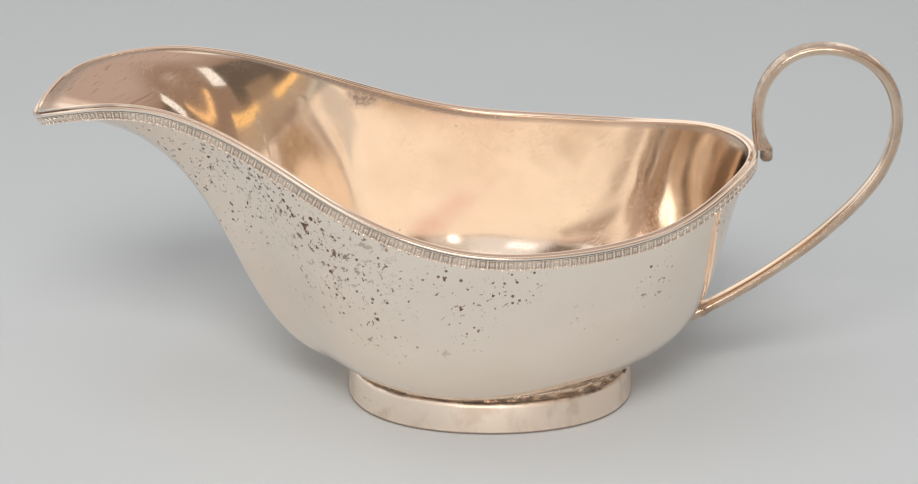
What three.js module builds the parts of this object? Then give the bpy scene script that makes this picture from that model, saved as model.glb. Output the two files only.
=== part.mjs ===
// Silver sauce boat on an oval foot: a raised bowl with a broad drooping lip, a fluted rim wire over
// a milled band, and a high loop handle. Millimetres, +Z up, +X towards the handle, lip at -X.
// Every piece is symmetric about the XZ plane; the table is at Z = 0.
import * as THREE from 'three';
import { LoftGeometry } from 'three/addons/geometries/LoftGeometry.js';

// Overall sizes that the tables below give: 198.3 long, 87.5 wide and 86.7 high.
const CENTRE_X = 4.95; // middle of the bowl and the foot
const WALL = 1.1; // thickness of the raised bowl
const SEAM = 0.1; // clearance left at each soldered joint

// Rim, one half from the handle round to the lip: x, half width, height, outward lean in degrees.
const RIM = [
  [69.8, 0.0, 61.5, 0], [59.6, 20.0, 60.0, 3], [44.7, 35.0, 54.4, 3], [18.2, 43.3, 52.9, 0],
  [-4.4, 44.4, 53.7, 0], [-28.0, 39.9, 62.2, 0], [-46.0, 29.7, 72.1, 0], [-69.4, 20.3, 80.3, 4],
  [-90.3, 17.0, 76.5, 24], [-96.6, 10.0, 73.0, 34], [-100.6, 0.0, 68.8, 42],
];
const RIM_SPANS = RIM.length - 1;
const RIM_STATIONS = 50; // along each half of the rim

// Rim wire section, measured from the outer edge: outward, down. Two beads with a flute between.
const WIRE = [
  [-2.25, 0.7], [-2.25, 0.35], [-1.9, 0.0], [-1.5, 0.28], [-1.12, 0.4], [-0.74, 0.28], [-0.35, 0.0],
  [0.0, 0.35], [0.0, 0.7],
];

// Milled band: a strip of small raised blocks under the wire, on the outer face of the bowl.
const BAND = { top: 0.82, bottom: 2.75, back: -0.8, face: 0.0, cut: -0.28, pitch: 2.0, cutShare: 0.3 };

// Bowl wall under the wire: inset from the outer edge and depth of its top edge.
const SEAT = { inset: 1.0, depth: 0.85 };

// Bowl section by direction, as fractions of the run from foot to rim: how far out and up the two
// middle handles of each curved wall line stand. Rows: handle, quarter, side, quarter, lip.
const SECTION = [
  [0.835, 0.075, 0.709, 0.571], [0.639, 0.162, 0.883, 0.588], [0.87, 0.058, 0.981, 0.525],
  [0.775, 0.065, 0.749, 0.726], [0.485, 0.008, 0.321, 1.041],
];
const SECTION_COSINES = [1, Math.SQRT1_2, 0, -Math.SQRT1_2, -1];
const BOWL_OVAL = { a: 31.0, b: 22.6, z: 9.2 }; // where the bowl meets the foot
const BOWL_BOTTOM_Z = 6.7; // lowest point of the bowl, inside the foot
const WALL_STEPS = 10;

// Foot: oval rings as half length, half width, height.
const FULLNESS = 0.016; // squares the ovals slightly
const FOOT_RINGS = 60;
const COLLAR = [
  [32.7, 23.8, 7.62], [31.6, 23.0, 7.8], [30.9, 22.5, 8.25], [30.8, 22.4, 8.75], [31.0, 22.6, 9.0],
  [29.6, 21.2, 8.6], [29.6, 21.2, 7.62],
];
const FOOT = [
  [33.8, 24.9, 0.0], [33.75, 24.85, 0.5], [33.45, 24.55, 1.0], [33.3, 24.4, 6.6], [33.05, 24.15, 7.3],
  [32.6, 23.7, 7.52], [31.4, 22.5, 7.52], [32.1, 23.2, 6.4], [32.5, 23.6, 0.0],
];

// Handle: centre line as x, z; then its section, and the squared-off end that laps over the rim.
const HANDLE_LINE = [
  [71.0, 48.4], [67.1, 59.2], [64.6, 75.5], [74.1, 87.0], [91.6, 84.4], [99.2, 71.4], [96.7, 56.2],
  [87.7, 44.7], [77.1, 34.8], [65.4, 26.1], [54.3, 19.4], [42.5, 14.5],
];
const HANDLE = { thick: 2.8, wide: 3.8, squareness: 3.4, points: 12, stations: 62 };
const HANDLE_FOOT = [ // low x, high x, half width, height
  [67.35, 69.6, 1.5, 58.35], [67.05, 69.95, 1.9, 58.75], [67.05, 69.85, 1.95, 61.2],
  [65.6, 69.85, 1.95, 61.22], [65.3, 68.8, 1.9, 62.8],
];

const silver = (color, roughness) => new THREE.MeshStandardMaterial({ color, roughness, metalness: 1 });
const boat = new THREE.Group();

function add(name, geometry, material) {
  const mesh = new THREE.Mesh(geometry, material);
  mesh.name = name;
  boat.add(mesh);
}

// Uniform cubic B-spline weights for the four rows around one span.
const weights = (t) => [(1 - t) ** 3, 3 * t ** 3 - 6 * t * t + 4, -3 * t ** 3 + 3 * t * t + 3 * t + 1, t ** 3]
  .map((w) => w / 6);

// The rim's row at v, from 0 at the handle to RIM_SPANS at the lip; its ends mirror across XZ.
function rimRow(v) {
  const span = Math.min(Math.floor(v), RIM_SPANS - 1);
  const row = [0, 0, 0, 0];
  weights(v - span).forEach((w, k) => {
    const i = span - 1 + k;
    const mirrored = i < 0 || i > RIM_SPANS;
    const source = RIM[i < 0 ? -i : i > RIM_SPANS ? 2 * RIM_SPANS - i : i];
    source.forEach((value, c) => { row[c] += w * value * (mirrored && c === 1 ? -1 : 1); });
  });
  return row;
}

// Edge point with the directions out of and down the leaning rim.
function rimFrame(v) {
  const [x, y, z, lean] = rimRow(v);
  const [a, b] = [rimRow(Math.max(v - 0.001, 0)), rimRow(Math.min(v + 0.001, RIM_SPANS))];
  const along = new THREE.Vector3(b[0] - a[0], b[1] - a[1], b[2] - a[2]);
  if (v === 0 || v === RIM_SPANS) along.set(0, v === 0 ? 1 : -1, 0);
  along.normalize();
  const level = new THREE.Vector3(along.y, -along.x, 0).normalize();
  const drop = new THREE.Vector3().crossVectors(along, level);
  if (drop.z > 0) drop.negate();
  const tilt = THREE.MathUtils.degToRad(lean);
  const out = level.clone().multiplyScalar(Math.cos(tilt)).addScaledVector(drop, Math.sin(tilt));
  const down = drop.clone().multiplyScalar(Math.cos(tilt)).addScaledVector(level, -Math.sin(tilt));
  return { point: new THREE.Vector3(x, y, z), out, down, tilt };
}

const onRim = (frame, out, down) => frame.point.clone()
  .addScaledVector(frame.out, out).addScaledVector(frame.down, down);

// Rim positions at the given fractions of the half rim's length.
const rimTable = [];
for (let i = 0, length = 0, last = null; i <= 2000; i++) {
  const v = (RIM_SPANS * i) / 2000;
  const [x, y, z] = rimRow(v);
  const point = new THREE.Vector3(x, y, z);
  length += last ? point.distanceTo(last) : 0;
  last = point;
  rimTable.push({ v, length });
}
const RIM_LENGTH = rimTable[rimTable.length - 1].length;

function rimAt(fraction) {
  const wanted = fraction * RIM_LENGTH;
  const i = Math.max(1, rimTable.findIndex((entry) => entry.length >= wanted - 1e-9));
  const [low, high] = [rimTable[i - 1], rimTable[i]];
  return low.v + ((high.v - low.v) * (wanted - low.length)) / (high.length - low.length);
}

// An oval's point at an angle round from +X.
const oval = (a, b, z, angle) => new THREE.Vector3(
  CENTRE_X + 0.35 + a * ((1 + FULLNESS) * Math.cos(angle) - FULLNESS * Math.cos(3 * angle)),
  b * ((1 + FULLNESS) * Math.sin(angle) + FULLNESS * Math.sin(3 * angle)),
  z,
);

// Section row for a direction, through the five tabled ones.
function sectionRow(angle) {
  const c = Math.cos(angle);
  const row = [0, 0, 0, 0];
  SECTION.forEach((values, i) => {
    let share = 1;
    SECTION_COSINES.forEach((node, j) => { if (j !== i) share *= (c - node) / (SECTION_COSINES[i] - node); });
    values.forEach((value, k) => { row[k] += share * value; });
  });
  return row;
}

// Outer surface of the bowl. t runs from -1 at the middle of the bottom, by 0 at the foot, to 1.
function bowlPoint(v, t) {
  const frame = rimFrame(v);
  const top = onRim(frame, -SEAT.inset, SEAT.depth + WALL * Math.sin(1.35 * frame.tilt));
  const angle = Math.atan2(frame.point.y / 44, (frame.point.x - CENTRE_X + 0.05) / 64);
  const base = oval(BOWL_OVAL.a, BOWL_OVAL.b, BOWL_OVAL.z, angle);
  const [out1, up1, out2, up2] = sectionRow(angle);
  const handle = (out, up) => new THREE.Vector3(
    base.x + out * (top.x - base.x), base.y + out * (top.y - base.y), base.z + up * (top.z - base.z),
  );
  const [p1, p2] = [handle(out1, up1), handle(out2, up2)];
  if (t < 0) {
    const r = 1 + t;
    const reach = Math.hypot(base.x - CENTRE_X - 0.35, base.y);
    const slope = (reach * (p1.z - base.z)) / Math.hypot(p1.x - base.x, p1.y - base.y);
    const z = BOWL_BOTTOM_Z + (base.z - BOWL_BOTTOM_Z) * (3 * r * r - 2 * r ** 3) + slope * (r ** 3 - r * r);
    return oval(BOWL_OVAL.a * r, BOWL_OVAL.b * r, z, angle);
  }
  const s = 1 - t;
  return base.multiplyScalar(s ** 3).addScaledVector(p1, 3 * s * s * t)
    .addScaledVector(p2, 3 * s * t * t).addScaledVector(top, t ** 3);
}

// Inner surface, one wall thickness in along the outer surface's normal.
function bowlInside(v, t) {
  if (t === 1) return onRim(rimFrame(v), -SEAT.inset - WALL, SEAT.depth - 0.05);
  const e = 0.002;
  const point = bowlPoint(v, t);
  const [v0, v1] = [Math.max(v - e, 0), Math.min(v + e, RIM_SPANS)];
  const around = v === 0 || v === RIM_SPANS ? new THREE.Vector3(0, v === 0 ? 1 : -1, 0)
    : bowlPoint(v1, t).sub(bowlPoint(v0, t));
  const up = t < 0 ? point.clone().sub(bowlPoint(v, t - e)) : bowlPoint(v, t + e).sub(point);
  const inward = up.cross(around).normalize();
  return point.addScaledVector(inward, WALL);
}

// Closed rings round the whole bowl: the +Y half, then its mirror image.
const ringPositions = Array.from({ length: RIM_STATIONS + 1 }, (_, i) => rimAt(i / RIM_STATIONS));
function bowlRing(pointAt, t) {
  const half = ringPositions.map((v) => pointAt(v, t));
  const back = half.slice(1, -1).reverse().map((p) => new THREE.Vector3(p.x, -p.y, p.z));
  half[0].y = 0;
  half[half.length - 1].y = 0;
  return [...half, ...back];
}

const levels = [-0.7, -0.35];
for (let i = 0; i <= WALL_STEPS; i++) levels.push(i / WALL_STEPS);
const bowlRings = levels.map((t) => bowlRing(bowlPoint, t));
bowlRings.push(...levels.slice().reverse().map((t) => bowlRing(bowlInside, t)));

// The rings joined in order, with a fan to a middle point at both ends.
function fannedRings(rings, first, last) {
  const size = rings[0].length;
  const middle = rings.length * size;
  const faces = [];
  for (let j = 0; j < size; j++) {
    const k = (j + 1) % size;
    faces.push(middle, k, j, middle + 1, middle - size + j, middle - size + k);
    for (let row = 0; row < middle - size; row += size) {
      faces.push(row + j, row + k, row + size + j, row + k, row + size + k, row + size + j);
    }
  }
  const geometry = new THREE.BufferGeometry().setFromPoints([...rings.flat(), first, last]);
  geometry.setIndex(faces);
  geometry.computeVertexNormals();
  return geometry;
}

const bottom = new THREE.Vector3(CENTRE_X + 0.35, 0, BOWL_BOTTOM_Z);
const floor = bottom.clone().setZ(BOWL_BOTTOM_Z + WALL);
add('bowl', fannedRings(bowlRings, bottom, floor), silver(0xd9cfc2, 0.16));

// A strip along half of the rim. sectionAt(fraction) gives its section as [outward, down] pairs.
function rimStrip(fractions, sectionAt, side) {
  return new LoftGeometry(fractions.map((fraction) => {
    const frame = rimFrame(rimAt(fraction));
    const section = sectionAt(fraction).map(([out, down]) => onRim(frame, out, down));
    section.forEach((p) => { p.y = side * (Math.max(p.y, 0) + SEAM / 2); });
    return side > 0 ? section : section.reverse();
  }), { capStart: true, capEnd: true });
}

// Stations of the milled band: two at the ends of each block and one in the cut between blocks.
const blocks = Math.round(RIM_LENGTH / BAND.pitch);
const bandStations = [];
for (let i = 0; i < blocks; i++) {
  bandStations.push([(i + BAND.cutShare / 2) / blocks, BAND.face], [(i + 1 - BAND.cutShare / 2) / blocks, BAND.face]);
  if (i < blocks - 1) bandStations.push([(i + 1) / blocks, BAND.cut]);
}
bandStations.unshift([0, BAND.cut]);
bandStations.push([1, BAND.cut]);
const bandFace = new Map(bandStations);
const bandSection = (fraction) => [
  [BAND.back, BAND.bottom], [BAND.back, BAND.top], [bandFace.get(fraction), BAND.top],
  [bandFace.get(fraction), BAND.bottom],
];

const wireFractions = Array.from({ length: RIM_STATIONS + 1 }, (_, i) => i / RIM_STATIONS);
for (const [name, side] of [['back', 1], ['front', -1]]) {
  add(`rim_wire_${name}`, rimStrip(wireFractions, () => WIRE, side), silver(0xe6d3c3, 0.14));
  add(`milled_band_${name}`, rimStrip([...bandFace.keys()], bandSection, side), silver(0xa8998c, 0.35));
}

// Oval rings joined in order and back to the first make a hollow foot piece.
function ovalRing([a, b, z]) {
  return Array.from({ length: FOOT_RINGS }, (_, i) => oval(a, b, z, (2 * Math.PI * i) / FOOT_RINGS));
}
const hollow = (rows) => new LoftGeometry([...rows, rows[0]].map(ovalRing), { capStart: false, capEnd: false });
add('foot_collar', hollow(COLLAR), silver(0xb59c86, 0.3));
add('foot_band', hollow(FOOT), silver(0xe2cdb9, 0.18));

// Handle sections: rounded squares across the centre line.
const rounded = (value) => Math.sign(value) * Math.abs(value) ** (2 / HANDLE.squareness);
const handleAngles = Array.from({ length: HANDLE.points }, (_, i) => (2 * Math.PI * (i + 0.5)) / HANDLE.points);

function handleRow(u) {
  const spans = HANDLE_LINE.length - 3;
  const span = Math.min(Math.floor(u), spans - 1);
  const row = [0, 0];
  weights(u - span).forEach((w, k) => HANDLE_LINE[span + k].forEach((value, c) => { row[c] += w * value; }));
  return new THREE.Vector3(row[0], 0, row[1]);
}

function handleSection(u) {
  const spans = HANDLE_LINE.length - 3;
  const along = handleRow(Math.min(u + 0.001, spans)).sub(handleRow(Math.max(u - 0.001, 0))).normalize();
  const across = new THREE.Vector3(along.z, 0, -along.x);
  const centre = handleRow(u);
  const points = handleAngles.map((angle) => centre.clone()
    .addScaledVector(across, (HANDLE.thick / 2) * rounded(Math.cos(angle)))
    .add(new THREE.Vector3(0, (HANDLE.wide / 2) * rounded(Math.sin(angle)), 0)));
  return { points, along };
}

// The lower end is cut along the bowl's wall, where the centre line meets it.
const spans = HANDLE_LINE.length - 3;
const lowEnd = { point: handleRow(spans), along: handleSection(spans).along };
const missAt = (t) => bowlPoint(0, t).sub(lowEnd.point).cross(lowEnd.along).length();
let meet = 0;
for (let t = 0; t < 0.6; t += 0.001) if (missAt(t) < missAt(meet)) meet = t;
const wallUp = bowlPoint(0, meet + 0.002).sub(bowlPoint(0, meet - 0.002)).normalize();
const wallOut = new THREE.Vector3(wallUp.z, 0, -wallUp.x);
const wallSpot = bowlPoint(0, meet).addScaledVector(wallOut, 2.5 * SEAM);
const clearance = (p) => p.clone().sub(wallSpot).dot(wallOut);

const handleSections = HANDLE_FOOT.map(([low, high, half, z]) => handleAngles.map((angle) => new THREE.Vector3(
  (low + high) / 2 + ((high - low) / 2) * rounded(Math.cos(angle)), half * rounded(Math.sin(angle)), z,
)));
for (let i = 0; i <= HANDLE.stations; i++) {
  const { points } = handleSection((spans * i) / HANDLE.stations);
  const free = i < HANDLE.stations / 2 ? Math.min(...points.map((p) => p.z)) > 64
    : Math.min(...points.map(clearance)) > 0.4;
  if (free) handleSections.push(points);
}
handleSections.push(handleSections[handleSections.length - 1].map((p) => p.clone()
  .addScaledVector(lowEnd.along, -clearance(p) / lowEnd.along.dot(wallOut))));
add('handle', new LoftGeometry(handleSections, { capStart: true, capEnd: true }), silver(0xe0c8b4, 0.15));

export default boat;
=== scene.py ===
"""Silver sauce boat: the looks of each piece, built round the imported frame."""

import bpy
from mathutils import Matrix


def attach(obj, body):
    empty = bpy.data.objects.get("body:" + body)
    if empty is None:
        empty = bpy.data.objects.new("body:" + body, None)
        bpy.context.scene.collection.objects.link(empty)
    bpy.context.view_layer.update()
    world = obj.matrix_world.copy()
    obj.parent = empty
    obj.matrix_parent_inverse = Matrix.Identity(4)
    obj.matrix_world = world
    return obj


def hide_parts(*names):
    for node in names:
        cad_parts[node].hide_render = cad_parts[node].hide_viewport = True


bl_info = {
    "name": "Silver Sauce Boat",
    "version": (1, 0, 0),
    "blender": (4, 5, 0),
    "location": "View3D > Sidebar > Sauce Boat",
    "description": "Builds a silver sauce boat with a milled rim, loop handle and oval foot",
    "category": "Add Mesh",
}

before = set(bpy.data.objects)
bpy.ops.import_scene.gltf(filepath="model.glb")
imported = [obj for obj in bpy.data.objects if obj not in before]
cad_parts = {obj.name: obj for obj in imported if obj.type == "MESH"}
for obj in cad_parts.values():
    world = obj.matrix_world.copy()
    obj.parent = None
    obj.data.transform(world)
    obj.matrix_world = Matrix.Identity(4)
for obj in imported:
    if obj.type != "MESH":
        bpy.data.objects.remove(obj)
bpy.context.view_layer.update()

import math

import bmesh
import bpy
import numpy as np
from bpy.props import FloatProperty, FloatVectorProperty, IntProperty, PointerProperty
from mathutils import Vector

MM = 0.001

# The tables below are in millimetres, as the frame was drawn.
CENTRE_X = 4.95
OVAL_X = CENTRE_X + 0.35
WALL = 1.1
SPLINE_STEP = 0.001  # steps for slopes, along a spline in spans and over the wall
WALL_STEP = 0.002

# Rim, half of it, from the handle to the lip: x, half width, height, outward lean in degrees.
RIM = np.array([
    [69.8, 0.0, 61.5, 0], [59.6, 20.0, 60.0, 3], [44.7, 35.0, 54.4, 3], [18.2, 43.3, 52.9, 0],
    [-4.4, 44.4, 53.7, 0], [-28.0, 39.9, 62.2, 0], [-46.0, 29.7, 72.1, 0], [-69.4, 20.3, 80.3, 4],
    [-90.3, 17.0, 76.5, 24], [-96.6, 10.0, 73.0, 34], [-100.6, 0.0, 68.8, 42]])
MIRRORED = np.array([1, -1, 1, 1])
RIM_ROWS = np.vstack([RIM[1] * MIRRORED, RIM, RIM[-2] * MIRRORED])
RIM_SPANS = len(RIM) - 1

# Sections along the rim, measured out from its edge and down.
BEAD = 0.375  # radius of each of the rim wire's two beads
WIRE_BEVEL = 0.06
FLUTE_HALF = 0.55  # half width of the tarnish in the flute
SEAM_HALF = 0.02  # half the gap between the two half lengths of a strip
WIRE = {"inner": -2.25, "outer": 0.0, "under": 0.7, "flute": 0.4}
# Towards the lip the flute opens deeper and holds more tarnish, over these shares of the rim.
LIP_FLUTE = {"from": 0.80, "opens": 0.10, "closes": 0.02, "deeper": 0.35, "darker": 3.0}
BAND = {"top": 0.82, "bottom": 3.05, "back": -0.8, "pitch": 2.0}
SEAT = {"inset": 1.0, "depth": 0.85, "lean": 1.35}  # the bowl's top edge under the wire
LEDGE = {"out": -2.22, "down": 0.5, "from": 0.85}  # where the inside runs up into the wire

# Wall lines from the handle round to the lip: how far along and up their two middle handles stand,
# as shares of the way from the foot to the rim.
SECTION = np.array([
    [0.835, 0.075, 0.709, 0.571], [0.639, 0.162, 0.883, 0.588], [0.87, 0.058, 0.981, 0.525],
    [0.775, 0.065, 0.749, 0.726], [0.485, 0.008, 0.321, 1.041]])
SECTION_COSINES = [1, math.sqrt(0.5), 0, -math.sqrt(0.5), -1]
BOWL_OVAL = {"a": 31.0, "b": 22.6, "z": 9.2}
BOWL_BOTTOM_Z = 6.7
FLOOR_LEVELS = [-0.97, -0.9, -0.8, -0.7, -0.6, -0.5, -0.4, -0.3, -0.2, -0.1, -0.04]
# Middle, half length and half width of the oval that turns rim points into directions.
DIRECTION = {"shift": 0.05, "long": 64, "wide": 44}

FULLNESS = 0.016  # how squared the level ovals of the bowl and the foot are
OVAL_COLUMNS = 240
CORNER_SHARE = 0.42  # the most of a side that a rounded corner takes
WAVE_SCALE = 1.6  # how much finer the foot's unevenness is than the bowl's
# Closed profiles of the collar and of the foot: half length, half width, height.
COLLAR = [[32.7, 23.8, 7.62], [31.6, 23.0, 7.8], [30.9, 22.5, 8.25], [30.8, 22.4, 8.75],
          [31.0, 22.6, 9.0], [29.6, 21.2, 8.6], [29.6, 21.2, 7.62]]
FOOT = [[33.8, 24.9, 0.0], [33.78, 24.88, 0.35], [33.55, 24.65, 3.5], [33.25, 24.35, 6.6],
        [33.05, 24.15, 7.3], [32.6, 23.7, 7.52], [31.4, 22.5, 7.52], [32.1, 23.2, 6.4],
        [32.5, 23.6, 0.0]]

# The handle's centre line: x and height.
HANDLE_LINE = np.array([
    [71.0, 48.4], [67.1, 59.2], [64.6, 75.5], [74.1, 87.0], [91.6, 84.4], [99.2, 71.4],
    [96.7, 56.2], [87.7, 44.7], [77.1, 34.8], [65.4, 26.1], [54.3, 19.4], [42.5, 14.5]])
HANDLE_SPANS = len(HANDLE_LINE) - 3
HANDLE = {"thick": 2.8, "wide": 3.8, "squareness": 2.6}
HANDLE_ROWS = 260
HANDLE_COLUMNS = 48
# The handle's end at the rim, level by level: x from and to, half width, height.
HEEL = np.array([
    [67.35, 69.6, 1.5, 58.35], [67.05, 69.95, 1.9, 58.75], [67.05, 69.85, 1.95, 61.2],
    [65.6, 69.85, 1.95, 61.22], [65.3, 68.8, 1.9, 62.8]])
# Rings of the heel: from one level to another, at these shares of the way.
HEEL_RINGS = ((0, 1, (0, 0.25, 0.6, 1)), (1, 2, (0.2, 0.5, 0.8, 0.97)),
              (3, 4, (0, 0.12, 0.35, 0.7, 1)))
# HEEL_TOP's tarnish height and fade also set where the rod darkens by the heel: tarnish with
# painted shade in the crease at the rim.
HEEL_TOP = {"height": 64, "tarnish": 62, "fade": 5}  # where the rod leaves the heel
# The joint at the wall: gap, least distance of a ring, and how the rod swells there and darkens
# there with tarnish and painted shade in the crease.
WALL_JOINT = {"gap": 0.04, "clear": 0.15, "swell": 0.28, "swell_from": 1.3, "fade": 3.5}

# The room that the silver mirrors, as patches: from and to in degrees round from +Y towards +X,
# from and to in degrees up, softness of the edge in degrees, colour. Later patches cover earlier
# ones. A patch across the -Y direction has a half on each side of 180 degrees.
ROOM = [
    (44, 68, 38, 48, 4, (0.20, 0.16, 0.13)),  # edge of the furniture on the right
    (64, 114, 12, 49, 6, (0.15, 0.115, 0.09)),  # dark furniture on the right
    (50, 82, 20, 38, 3, (0.72, 0.64, 0.56)),  # something pale in front of it
    (-200, -122, -20, 58, 10, (0.86, 0.78, 0.72)),  # wall behind the camera, left half
    (150, 200, -20, 46, 7, (0.68, 0.58, 0.51)),  # the same wall, right half
    (-200, -158, -20, 22, 4, (0.40, 0.28, 0.18)),  # brown cupboards below the wall, left half
    (146, 200, -20, 22, 4, (0.40, 0.28, 0.18)),  # and right half
    (-132, -60, -20, 52, 7, (1.08, 1.0, 0.92)),  # left wall
    (-90, 52, -20, 62, 6, (1.12, 1.02, 0.92)),  # bright backdrop paper behind the boat
    (30, 58, 35, 64, 5, (0.47, 0.38, 0.32)),  # top corner of the backdrop, less lit
    (-60, 32, 45, 66, 6, (0.84, 0.67, 0.59)),  # its upper edge
    (-30, 3, -20, 14, 3, (0.50, 0.43, 0.37)),  # far edge of the table
    (-84, -36, 8, 27, 4, (0.74, 0.71, 0.68)),  # grey card at the left
    (26, 48, 17, 22, 2, (0.80, 0.70, 0.62)),  # grey card at the backdrop
    (-10, 1, 21, 29, 3, (0.82, 0.58, 0.55)),  # rosy corner of the backdrop
    (-8, -2, 22.5, 27, 1.5, (0.90, 0.40, 0.40)),  # something red there
    (-153, -131, 9, 25, 3, (0.33, 0.27, 0.26)),  # dark opening in the left wall
    (-140, -124, 27, 50, 3, (0.22, 0.165, 0.13)),  # dark frame beside it
    (122, 156, 31, 46, 6, (0.36, 0.25, 0.18)),  # brown upper wall
    (86, 100, 7, 24, 3, (0.36, 0.25, 0.165)),  # shelf on the right
    (90, 128, 2.5, 14, 1.5, (0.47, 0.345, 0.25)),  # lit side of the lamp
    (95, 127, 8.6, 13.8, 1, (1.20, 0.74, 0.30)),  # its warm upper edge
    (98, 126, -8, 3, 1.5, (0.64, 0.57, 0.47)),  # pale sill
    (138, 142.5, 12, 27, 1, (1.30, 0.80, 0.38)),  # thin warm lamp
    (112, 131, 28, 48, 1.5, (1.15, 1.10, 1.05)),  # small window
    (-160, -141, 26, 36, 4, (1.6, 1.5, 1.45)),  # soft lamp
    (167, 174, 20.5, 28.5, 1.2, (3.2, 3.0, 2.7)),  # small bright lamp
    (168, 200, 1, 8, 2, (15.0, 13.3, 12.0)),  # long thin lamp low behind the camera, right half
    (-200, -168, 1, 8, 2, (15.0, 13.3, 12.0)),  # and left half
    (-200, -152, 43, 58, 3, (4.2, 4.0, 3.8)),  # the main softbox
]


# ---- Curves and surfaces ------------------------------------------------------------------

def unit(vectors):
    """The same directions at length 1."""
    return vectors / np.linalg.norm(vectors, axis=-1, keepdims=True)


def along_spline(rows, u):
    """Points of a uniform cubic B-spline at the places u, counted in spans."""
    u = np.atleast_1d(np.asarray(u, float))
    span = np.minimum(u.astype(int), len(rows) - 4)
    t = u - span
    weights = [(1 - t) ** 3, 3 * t ** 3 - 6 * t * t + 4,
               -3 * t ** 3 + 3 * t * t + 3 * t + 1, t ** 3]
    return sum(w[:, None] * rows[span + k] for k, w in enumerate(weights)) / 6


def rim_frame(v):
    """Edge points with the directions out of and down the leaning rim, and the lean itself."""
    v = np.atleast_1d(np.asarray(v, float))
    rows = along_spline(RIM_ROWS, v)
    ahead = along_spline(RIM_ROWS, np.minimum(v + SPLINE_STEP, RIM_SPANS))
    along = (ahead - along_spline(RIM_ROWS, np.maximum(v - SPLINE_STEP, 0)))[:, :3]
    along[v <= 0] = (0, 1, 0)
    along[v >= RIM_SPANS] = (0, -1, 0)
    along = unit(along)
    level = unit(np.stack([along[:, 1], -along[:, 0], np.zeros(len(v))], axis=1))
    drop = np.cross(along, level)
    drop[drop[:, 2] > 0] *= -1
    tilt = np.radians(rows[:, 3])[:, None]
    out = level * np.cos(tilt) + drop * np.sin(tilt)
    down = drop * np.cos(tilt) - level * np.sin(tilt)
    return rows[:, :3], out, down, tilt


def on_rim(v, out, down):
    """Points this far out from and down from the rim's edge."""
    point, outward, downward, _ = rim_frame(v)
    return point + outward * np.reshape(out, (-1, 1)) + downward * np.reshape(down, (-1, 1))


LENGTH_STEPS = 4000
TABLE_V = np.linspace(0, RIM_SPANS, LENGTH_STEPS + 1)
TABLE_LENGTH = np.concatenate([[0], np.cumsum(np.linalg.norm(
    np.diff(along_spline(RIM_ROWS, TABLE_V)[:, :3], axis=0), axis=1))])
RIM_LENGTH = TABLE_LENGTH[-1]


def rim_at(fraction):
    """Rim positions at these fractions of the half rim's length."""
    return np.interp(np.asarray(fraction) * RIM_LENGTH, TABLE_LENGTH, TABLE_V)


def oval(a, b, z, angle):
    """Points of a level, slightly squared oval with these half lengths."""
    return np.stack([
        OVAL_X + a * ((1 + FULLNESS) * np.cos(angle) - FULLNESS * np.cos(3 * angle)),
        b * ((1 + FULLNESS) * np.sin(angle) + FULLNESS * np.sin(3 * angle)),
        z * np.ones_like(angle)], axis=-1)


def section_rows(angle):
    """The wall line's four shares in any direction, blended from those in SECTION."""
    c = np.cos(angle)
    total = np.zeros((len(angle), 4))
    for i, values in enumerate(SECTION):
        share = np.ones_like(c)
        for j, node in enumerate(SECTION_COSINES):
            if j != i:
                share = share * (c - node) / (SECTION_COSINES[i] - node)
        total += share[:, None] * values
    return total


def bowl_outer(v, t):
    """Outer surface: t is -1 at the middle of the bottom, 0 at the foot and 1 under the wire."""
    point, out, down, tilt = rim_frame(v)
    top = point - out * SEAT["inset"] + down * (
        SEAT["depth"] + WALL * np.sin(SEAT["lean"] * tilt))
    angle = np.arctan2(point[:, 1] / DIRECTION["wide"],
                       (point[:, 0] - CENTRE_X + DIRECTION["shift"]) / DIRECTION["long"])
    base = oval(BOWL_OVAL["a"], BOWL_OVAL["b"], BOWL_OVAL["z"], angle)
    share = section_rows(angle)
    scale1 = share[:, [0, 0, 1]]
    scale2 = share[:, [2, 2, 3]]
    p1 = base + scale1 * (top - base)
    p2 = base + scale2 * (top - base)
    if t < 0:
        r = 1 + t
        reach = np.hypot(base[:, 0] - OVAL_X, base[:, 1])
        slope = reach * (p1[:, 2] - base[:, 2]) / np.hypot(*(p1 - base)[:, :2].T)
        rise = BOWL_OVAL["z"] - BOWL_BOTTOM_Z
        z = BOWL_BOTTOM_Z + rise * (3 * r * r - 2 * r ** 3) + slope * (r ** 3 - r * r)
        return oval(BOWL_OVAL["a"] * r, BOWL_OVAL["b"] * r, z, angle)
    s = 1 - t
    return base * s ** 3 + p1 * 3 * s * s * t + p2 * 3 * s * t * t + top * t ** 3


def bowl_normals(v, t):
    """Directions into the bowl, square to its outer surface."""
    step = WALL_STEP
    around = (bowl_outer(np.minimum(v + step, RIM_SPANS), t)
              - bowl_outer(np.maximum(v - step, 0), t))
    around[v <= 0] = (0, 1, 0)
    around[v >= RIM_SPANS] = (0, -1, 0)
    low, high = (t - step, t) if t < 0 or t > 1 - step else (t, t + step)
    return unit(np.cross(bowl_outer(v, high) - bowl_outer(v, low), around))


def bowl_inner(v, t):
    """Inner surface, one wall in, eased into the ledge under the wire at the very top."""
    surface = bowl_outer(v, t) + WALL * bowl_normals(v, t)
    ease = max(0.0, (t - LEDGE["from"]) / (1 - LEDGE["from"])) ** 2
    if ease:
        ledge = on_rim(v, LEDGE["out"], LEDGE["down"])
        surface += ease * (ledge - bowl_outer(v, 1) - WALL * bowl_normals(v, 1))
    return surface


def full_ring(half):
    """A whole ring from its +Y half, which starts and ends on the middle plane."""
    half = half.copy()
    half[[0, -1], 1] = 0
    return np.vstack([half, half[-2:0:-1] * (1, -1, 1)])


def planished(points, depth):
    """The faint unevenness that hammering leaves in raised silver, as a shift in millimetres."""
    x, y, z = points.T
    wave = (np.sin(0.41 * x + 0.23 * z + 1.1) * np.sin(0.37 * y - 0.29 * z + 0.4)
            + 0.6 * np.sin(0.63 * x - 0.51 * y + 2.2) * np.sin(0.57 * z + 0.8)
            + 0.3 * np.sin(1.13 * x + 0.9 * z) * np.sin(1.31 * y + 0.7))
    return depth * wave


# ---- Meshes -------------------------------------------------------------------------------

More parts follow.
